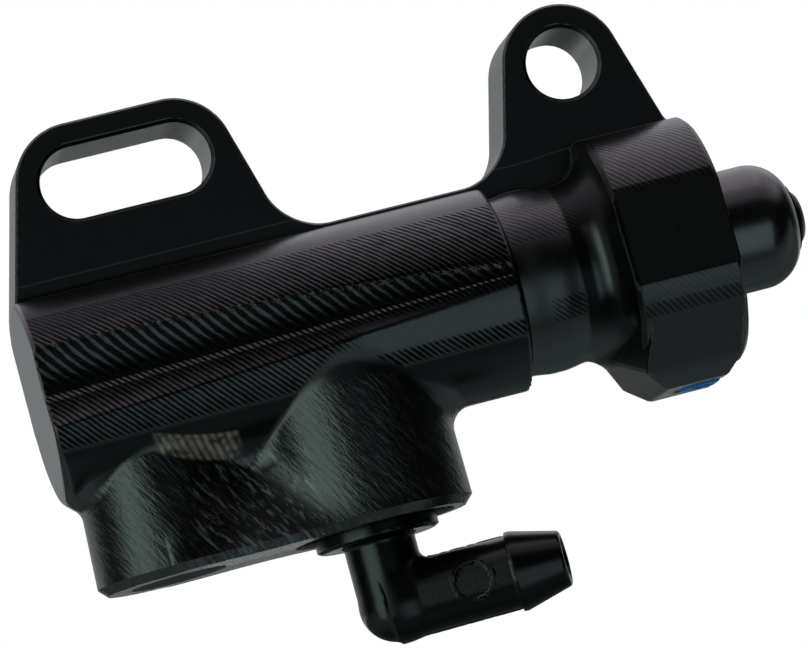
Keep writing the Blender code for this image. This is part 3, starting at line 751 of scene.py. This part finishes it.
def add_port_strokes(n, s):
    """Cutter strokes running down the port block."""
    s.port = s.rad.rise(10.45, 10.9) * s.z.fall(-6.5, -5.0) * (s.x.fall(4.0, 5.0) * s.front)
    across = s.x * 0.87 + s.z * 0.5
    along = s.x * 0.5 - s.z * 0.87
    s.stroke = n.noise(n.vector(across * 2.4, along * 0.45, s.y * 0.5),
                       scale=1.0, rough=0.6, distort=0.4)


def web_zone(s):
    return s.z.fall(-10.3, -9.7) * s.x.band(-25.5, -13.5, 1.0)


def painted_fillet_reflection(n, s):
    """Painted reflection: a ribbed bright strip between the barrel's underside and the web,
    painted into the colour.
    """
    v = s.x.ramp(start=-27.5, length=8.0)
    vv = v * v
    top = v.times_plus(-2.8, -6.0) + vv * 1.2
    bottom = v.times_plus(-4.0, -7.9) + vv * 2.0
    strip = s.z.fall(top - 0.15, top + 0.15) * s.z.rise(bottom - 0.25, bottom + 0.25)
    strip = strip * (s.x.band(-27.5, -19.5, 0.5) * s.front)
    ribs = (s.x + s.z * 0.35).wave(pitch=0.75)
    torn = n.noise(s.p, scale=0.9, rough=0.65).rise(0.34, 0.58)
    return strip * ribs.rise(0.1, 0.8).times_plus(0.6, 0.4) * torn.times_plus(0.75, 0.25)


def edge_wear(n, s):
    """Patchy wear where a rounded normal departs from the true one."""
    rounded = n.node("ShaderNodeBevel")
    rounded.samples = 4
    rounded.inputs["Radius"].default_value = 0.00022
    agree = n.vector_math("DOT_PRODUCT", Value(n, rounded.outputs[0]), s.normal, output="Value")
    edge = 1.0 - agree.rise(0.90, 0.995)
    return edge * n.noise(s.p, scale=1.2, rough=0.6).rise(0.45, 0.7)


# anodised colour with a painted reflection, glints, highlight and sheen layered on
def anodised_colour_and_highlights(n, s):
    # painted highlight: a faint light line along the ridge across the front face of the ears, a
    # little higher to the right
    line_z = s.x.rise(15.0, 21.0).times_plus(0.35, 11.9)
    line = s.z.near(line_z, 0.03, 0.10) * (-s.ny).rise(0.9, 0.98) * s.y.band(-10.2, -9.8, 0.05)
    # real cutter strokes on the port block, their green-grey lightness a painted sheen
    stroke_sheen = s.stroke.rise(0.50, 0.68) * s.port * web_zone(s).times_plus(0.85, 0.15)
    # painted glints: bright points along the flute's edges; the upper ones thin out to the left
    painted_glints = s.edge_top * (s.barrel * s.front) * s.spots.rise(0.55, 0.66) * s.x.rise(-32.0, -12.0)
    painted_glints = painted_glints | (s.edge_low * (s.barrel * s.front) * (s.wave.rise(0.55, 0.9) * 0.8))
    colour = n.mix(n.noise(s.p, scale=0.25), (0.0016, 0.0016, 0.0019), (0.0032, 0.0030, 0.0034))
    layers = (  # mask, strength, colour, from the lowest up
        (edge_wear(n, s), 0.35, (0.09, 0.088, 0.092)),
        # painted highlight along the ridge on the ears
        (line, 0.8, (0.055, 0.052, 0.052)),
        # painted reflection: bright ribbed strip on the fillet under the barrel
        (painted_fillet_reflection(n, s), 0.9, (0.40, 0.32, 0.265)),
        # real cutter strokes with a painted sheen
        (stroke_sheen, 0.8, (0.135, 0.168, 0.162)),
        # painted glints along the flute's edges
        (painted_glints, 0.55, (0.25, 0.135, 0.15)),
    )
    for mask, strength, tint in layers:
        colour = n.mix(mask * strength, colour, tint)
    return colour


def dull_zones(s):
    """Where the reflection is held down, 0 to 1."""
    x, z, deg, front, barrel = s.x, s.z, s.deg, s.front, s.barrel
    neck_step = x.band(10.35, 10.85, 0.06) * front
    rising = s.nz.rise(0.10, 0.30) * z.fall(-9.8, -8.8) * front
    dull = (s.ribs * (s.gap * 0.90)) | ((neck_step * 0.85) | (rising * 0.8))
    flute_middle = s.q.band(0.40, 0.60, 0.05) * barrel * front
    # neck-to-collar fillet, apart from one bright streak
    streak = x.band(18.1, 19.5, 0.25)
    fillet = x.band(16.8, 21.6, 0.25) * (
        (streak * deg.band(-24.0, 20.0, 6.0)).inverse() * z.rise(-9.5, -5.0))
    fillet = fillet * front
    belly = deg.fall(-36.0, -33.0) * (barrel * 0.62)
    upper_left = x.fall(-24.0, 4.0) * deg.rise(24.0, 40.0) * (
        s.rad.fall(10.6, 11.0) * s.lean.inverse() * 0.72)
    # curved corner between the neck and the plate
    corner = x.band(15.5, 22.0, 0.4) * z.band(8.5, 13.4, 0.3) * ((-s.ny).fall(0.95, 0.985) * 0.8)
    corner = corner * (-s.ny).rise(0.1, 0.3)
    lug_slope = (-s.nx).rise(0.45, 0.6) * z.fall(-9.0, -8.0) * (x.rise(17.0, 18.0) * 0.5)
    return dull | (((flute_middle * 0.62) | (fillet * 0.86))
                   | ((lug_slope | corner) | (belly | upper_left)))


def black_anodised():
    n = Look("look_black_anodised")
    s = housing_zones(n)
    add_cutter_pattern(n, s)
    add_port_strokes(n, s)
    grain = n.noise(s.p, scale=9.0, detail=4.0, rough=0.6)
    swirl = n.noise(n.vector(s.x, s.z * 0.8, s.y * 0.6),
                    scale=1.3, detail=4.0, rough=0.6, distort=1.4)
    normal = None
    for height, strength, distance in (
            (grain, 0.22, 0.00004),
            (s.fine, s.ribs.times_plus(0.30, 0.05), 0.00008),
            (s.wave, s.ribs * 0.24, 0.00012),
            (s.spots, s.torn * 0.9, 0.00018),
            (s.stroke, s.port * 0.45, 0.00026)):
        normal = n.bump(height, strength, distance, normal)
    web = web_zone(s) * s.front
    rough = (s.ribs | (web * 0.6)).between(swirl.times_plus(0.08, 0.26),
                                           s.fine.times_plus(0.14, 0.15))
    return n.finish({"Base Color": anodised_colour_and_highlights(n, s), "Roughness": rough, "Metallic": 0.0,
                     "IOR": 1.75, "Normal": normal,
                     "Specular IOR Level": dull_zones(s).times_plus(-0.5, 0.5)})


# =================================================================================
# the other materials
# =================================================================================
def metal(name, a, b, rough, stretch=(1, 1, 1), metallic=1.0, spec=0.5):
    """Metal between colours a and b; stretch squeezes the grain along each axis."""
    n = Look(name)
    p = n.millimetres()
    grain = n.noise(n.vector_math("MULTIPLY", p, stretch), scale=1.4, detail=4.0, rough=0.6)
    fine = n.noise(p, scale=6.0, rough=0.6)
    return n.finish({"Base Color": n.mix(grain, a, b),
                     "Roughness": fine.times_plus(0.16, rough - 0.08),
                     "Metallic": metallic, "IOR": 1.5, "Specular IOR Level": spec,
                     "Normal": n.bump(grain, strength=0.15, distance=0.00004)})


def rubber(name, a, b, rough, scale, bump=0.25, ior=1.5, down=0.0):
    """Rubber or plastic; down is how far faces turned to -Z lose their reflection."""
    n = Look(name)
    p = n.millimetres()
    grain = n.noise(p, scale=scale, detail=5.0, rough=0.65)
    tone = n.noise(p, scale=0.4, detail=2.0)
    nz = n.split(n.source("ShaderNodeNewGeometry", "Normal"))[2]
    return n.finish({"Base Color": n.mix(tone, a, b),
                     "Roughness": grain.times_plus(0.2, rough - 0.1), "IOR": ior,
                     "Specular IOR Level": (-nz).rise(0.35, 0.8).times_plus(-0.5 * down, 0.5),
                     "Normal": n.bump(grain, strength=bump, distance=0.00003)})


LOOKS = {
    "black_anodised": black_anodised(),
    "blue_anodised": metal("look_blue_anodised", (0.012, 0.20, 0.72), (0.02, 0.27, 0.88),
                           rough=0.38, stretch=(1, 1, 6), metallic=0.0, spec=0.06),
    "bright_steel": metal("look_bright_steel", (0.42, 0.42, 0.41), (0.62, 0.61, 0.59),
                          rough=0.28),
    "dark_steel": metal("look_dark_steel", (0.035, 0.036, 0.040), (0.07, 0.07, 0.074),
                        rough=0.32, stretch=(4, 1, 1)),
    "piston_aluminium": metal("look_piston_aluminium", (0.42, 0.38, 0.30), (0.55, 0.50, 0.41),
                              rough=0.33, stretch=(5, 1, 1)),
    "seal_rubber": rubber("look_seal_rubber", (0.008, 0.008, 0.008), (0.02, 0.02, 0.02),
                          rough=0.6, scale=4.0),
    "boot_rubber": rubber("look_boot_rubber", (0.0075, 0.0072, 0.0080), (0.012, 0.0115, 0.0125),
                          rough=0.24, scale=3.5, bump=0.10, ior=1.92, down=0.35),
    "elbow_plastic": rubber("look_elbow_plastic", (0.0022, 0.0026, 0.0024),
                            (0.0040, 0.0046, 0.0042), rough=0.25, scale=5.0, bump=0.3,
                            down=0.85),
    "seat_plastic": rubber("look_seat_plastic", (0.60, 0.58, 0.50), (0.74, 0.72, 0.64),
                           rough=0.5, scale=5.0),
}


# =================================================================================
# pieces
# =================================================================================
def dress(ob, slot):
    ob.data.materials.append(LOOKS[slot])


def build_housing():
    shell = contour("housing_shell", housing, (-37.9, -23.1, -20.6), (33.0, 1.0, 27.7),
                    pitch=0.32)
    dress(shell, "black_anodised")
    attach(shell, "housing")
    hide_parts("body")


def build_elbow():
    elbow = contour("swivel_elbow", elbow_form, (-16.2, -19.2, -31.8), (11.6, -2.2, -10.3),
                    pitch=0.24)
    dress(elbow, "elbow_plastic")
    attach(elbow, "elbow")
    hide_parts("elbow_fitting")


def build_boot():
    """Dust boot: rim seated in the mouth, domed nose closing on the rod."""
    # (x, radius)
    outer = [(40.55, 3.0), (40.62, 3.35)] + arc(36.6, 2.2, 4.05, 14, 90, 18) + [
        (35.0, 6.25), (33.5, 6.25), (32.2, 6.25), (31.6, 6.27), (31.3, 6.36), (31.12, 6.6),
        (31.1, 6.9), (31.1, 7.5), (30.9, 7.7), (29.5, 7.7), (29.3, 7.5)]
    inner = [(29.3, 5.2), (32.0, 5.1), (36.6, 4.7), (38.3, 4.1), (39.0, 3.15), (39.3, 2.98),
             (40.2, 2.96)]
    boot = lathe("dust_boot_skin", outer + inner, segments=96, sharp=50, closed=True)
    dress(boot, "boot_rubber")
    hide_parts("dust_boot")
    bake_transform(boot)


def build_pushrod():
    """Rod with a rounded tip on the right and a ball on the left."""
    ball_x, ball_r = 19.7, 3.1
    # (x, radius)
    shank = [(41.5, 0.0), (41.5, 1.9), (41.38, 2.2), (41.05, 2.6), (40.7, 2.7), (32.0, 2.7),
             (31.4, 2.4), (24.0, 2.4), (23.6, 2.0)]
    ball = arc(ball_x, 0.0, ball_r, 40, 180, 20)[:-1] + [(ball_x - ball_r, 0.0)]
    rod = lathe("pushrod_turned", shank + ball, segments=64, sharp=28.0, closed=False)
    dress(rod, "dark_steel")
    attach(rod, "piston_set")
    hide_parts("pushrod")


def spring_coil(name, coil_r, wire_r, turns, lead, steps, sides):
    """Helix between the spring's ends, with lead close-wound turns at each end."""
    count = int(turns * steps)
    u = np.arange(count + 1) / count * turns
    length = SPRING_END - SPRING_START
    close = wire_r * 2.15       # advance per close-wound turn
    open_length = length - 2 * close * lead
    open_part = close * lead + (u - lead) / (turns - 2 * lead) * open_length
    along = np.where(u < lead, close * u,
                     np.where(u > turns - lead, length - close * (turns - u), open_part))
    angle = 2 * pi * u
    centre = np.stack([SPRING_START + along, AXIS_Y + coil_r * np.sin(angle),
                       coil_r * np.cos(angle)], 1)
    tangent = np.gradient(centre, axis=0)
    tangent /= np.linalg.norm(tangent, axis=1)[:, None]
    outward = np.stack([0 * angle, np.sin(angle), np.cos(angle)], 1)
    sideways = np.cross(tangent, outward)
    w = np.arange(sides) * 2 * pi / sides
    verts = centre[:, None] + wire_r * (np.cos(w)[None, :, None] * outward[:, None]
                                        + np.sin(w)[None, :, None] * sideways[:, None])
    faces = []
    for i in range(count):
        here, after = i * sides, (i + 1) * sides
        for k in range(sides):
            j = (k + 1) % sides
            faces.append((here + k, here + j, after + j, after + k))
    faces.append(tuple(range(sides))[::-1])
    faces.append(tuple(count * sides + k for k in range(sides)))
    return smooth_object(name, (verts.reshape(-1, 3) * MM).tolist(), faces)


def build_spring():
    spring = spring_coil("return_spring_wire", coil_r=4.75, wire_r=0.5, turns=7.5, lead=0.75,
                         steps=40, sides=12)
    dress(spring, "bright_steel")
    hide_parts("return_spring")
    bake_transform(spring)


def build_lock_screw():
    screw = contour("lock_screw_turned", screw_form, (24.6, -13.2, -14.5), (30.0, -7.8, -7.4),
                    pitch=0.11)
    dress(screw, "blue_anodised")
    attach(screw, "housing")
    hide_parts("lock_screw")


build_housing()
build_elbow()
build_boot()
build_pushrod()
build_spring()
build_lock_screw()

# finish of every CAD piece
NODE_SLOT = {
    "piston": "piston_aluminium", "cup_washer": "bright_steel", "primary_cup": "seal_rubber",
    "spring_seat": "seat_plastic", "secondary_seal": "seal_rubber",
    "stop_washer": "bright_steel", "bore_circlip": "dark_steel", "guide_bush": "dark_steel",
    "rod_wiper": "seal_rubber", "boot_ring": "dark_steel", "elbow_o_ring": "seal_rubber",
    "elbow_circlip": "dark_steel", "body": "black_anodised", "return_spring": "bright_steel",
    "dust_boot": "boot_rubber", "pushrod": "dark_steel", "lock_screw": "blue_anodised",
    "elbow_fitting": "elbow_plastic"}
for node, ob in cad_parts.items():
    look = LOOKS[NODE_SLOT[node]]
    if len(ob.data.materials) == 0:
        ob.data.materials.append(look)
    for i in range(len(ob.data.materials)):
        ob.data.materials[i] = look


# =================================================================================
# studio: soft surroundings, pale floor, one light, camera
# =================================================================================
scene = bpy.context.scene


def build_world():
    """Soft panels seen in reflections; the camera itself sees white."""
    world = bpy.data.worlds.new("studio")
    scene.world = world
    world.use_nodes = True
    w = Graph(world.node_tree)
    output = w.node("ShaderNodeOutputWorld")
    background = w.node("ShaderNodeBackground")
    w.tree.links.new(background.outputs[0], output.inputs[0])
    x, y, z = w.split(w.source("ShaderNodeTexCoord", "Generated"))
    # degrees: elevation; azimuth from -Y towards +X; arch from -Y up over the top
    elevation = z.math("ARCSINE") * (180 / pi)
    azimuth = x.math("ARCTAN2", -y) * (180 / pi)
    arch = z.math("ARCTAN2", -y) * (180 / pi)

    low = elevation.band(-50.0, -4.0, 3.0) * azimuth.band(-8.0, 28.0, 6.0)
    level = arch.rise(48.0, 100.0).times_plus(0.38, 0.28)
    level = arch.rise(106.0, 124.0).times_plus(-0.18, level)
    top = arch.band(46.0, 152.0, 3.0) * level * elevation.rise(22.0, 32.0)
    left = azimuth.band(-72.0, -26.0, 3.0) * elevation.band(-32.0, 36.0, 8.0)
    rear = azimuth.math("ABSOLUTE").rise(112.0, 140.0)
    backdrop = rear * elevation.band(-1.0, 60.0, 3.0)
    sill = rear * elevation.band(-7.8, -2.5, 0.8)
    below = -arch
    under = below.rise(50.0, 56.0) * 0.14
    for start, end, change in ((68.0, 78.0, 0.13), (112.0, 128.0, -0.11), (156.0, 164.0, -0.16)):
        under = below.rise(start, end).times_plus(change, under)

    panels = (  # mask, colour, strength
        (top.times_plus(0.0, 0.007), (1, 1, 1), 1.0),   # even fill of 0.007
        (low, (0.77, 1.0, 1.05), 0.57),
        (top, (1.0, 0.90, 1.04), 1.0),
        (left, (0.74, 1.0, 0.90), 1.35),
        (backdrop, (0.92, 0.99, 1.0), 0.50),
        (sill, (0.95, 1.0, 0.98), 0.95),
        (under, (0.80, 1.0, 1.0), 1.0),
    )
    glows = [w.scaled(w.mix(1.0, (0, 0, 0), tuple(part * strength for part in colour)), mask)
             for mask, colour, strength in panels]
    total = reduce(lambda a, b: w.vector_math("ADD", a, b), glows)
    to_camera = w.source("ShaderNodeLightPath", "Is Camera Ray")
    w.set(background.inputs[0], w.mix(to_camera, total, (1.0, 1.0, 1.0)))
    background.inputs[1].default_value = 1.0


def floor_material():
    """Diffuse from above and clear from below, so views from below stay open."""
    n = Look("pale_floor")
    clear = n.node("ShaderNodeBsdfTransparent")
    diffuse = n.node("ShaderNodeBsdfDiffuse")
    blend = n.node("ShaderNodeMixShader")
    tone = n.noise(n.place, scale=3.0, detail=2.0)
    n.set(diffuse.inputs[0], n.mix(tone, (0.80, 0.80, 0.80), (0.84, 0.84, 0.835)))
    n.set(blend.inputs[0], n.source("ShaderNodeNewGeometry", "Backfacing"))
    for shader, socket in ((diffuse, blend.inputs[1]), (clear, blend.inputs[2]),
                           (blend, n.output.inputs[0])):
        n.tree.links.new(shader.outputs[0], socket)
    return n.material


def build_floor():
    half, z = 0.9, -0.078       # metres
    mesh = bpy.data.meshes.new("floor")
    mesh.from_pydata([(-half, -half, z), (half, -half, z), (half, half, z), (-half, half, z)],
                     [], [(0, 1, 2, 3)])
    floor = link_object("floor", mesh)
    mesh.materials.append(floor_material())
    floor.visible_glossy = False
    floor.visible_diffuse = False


def build_light():
    """Soft box overhead, aimed at the origin."""
    place = Vector((0.0, 0.05, 0.75))
    light = bpy.data.lights.new("top_box", "AREA")
    light.shape = "RECTANGLE"
    light.size, light.size_y = 0.9, 0.6
    light.energy = 0.5
    light.color = (1.0, 0.95, 0.98)
    box = link_object("top_box", light)
    box.location = place
    box.rotation_mode = "QUATERNION"
    box.rotation_quaternion = (-place).to_track_quat("-Z", "Y")


def build_camera():
    """Long lens from the front, turned about the target (mm)."""
    azimuth, elevation, roll = radians(-9.51), radians(-5.93), radians(-15.14)
    target, distance = Vector((0.54, -8.0, -0.57)), 543.5
    backward = Vector((sin(azimuth) * cos(elevation), -cos(azimuth) * cos(elevation),
                       sin(elevation)))
    right = (-backward).cross(Vector((0, 0, 1))).normalized()
    up = right.cross(-backward)
    rolled_right = right * cos(roll) + up * sin(roll)
    rolled_up = -right * sin(roll) + up * cos(roll)
    pose = Matrix((rolled_right, rolled_up, backward)).transposed().to_4x4()
    pose.translation = (target + backward * distance) * MM
    data = bpy.data.cameras.new("camera")
    data.sensor_width = 36.0
    data.lens = 245.04950495
    data.clip_start, data.clip_end = 0.01, 20.0
    camera = link_object("camera", data)
    camera.matrix_world = pose
    scene.camera = camera


build_world()
build_floor()
build_light()
build_camera()
scene.view_settings.view_transform = "Standard"
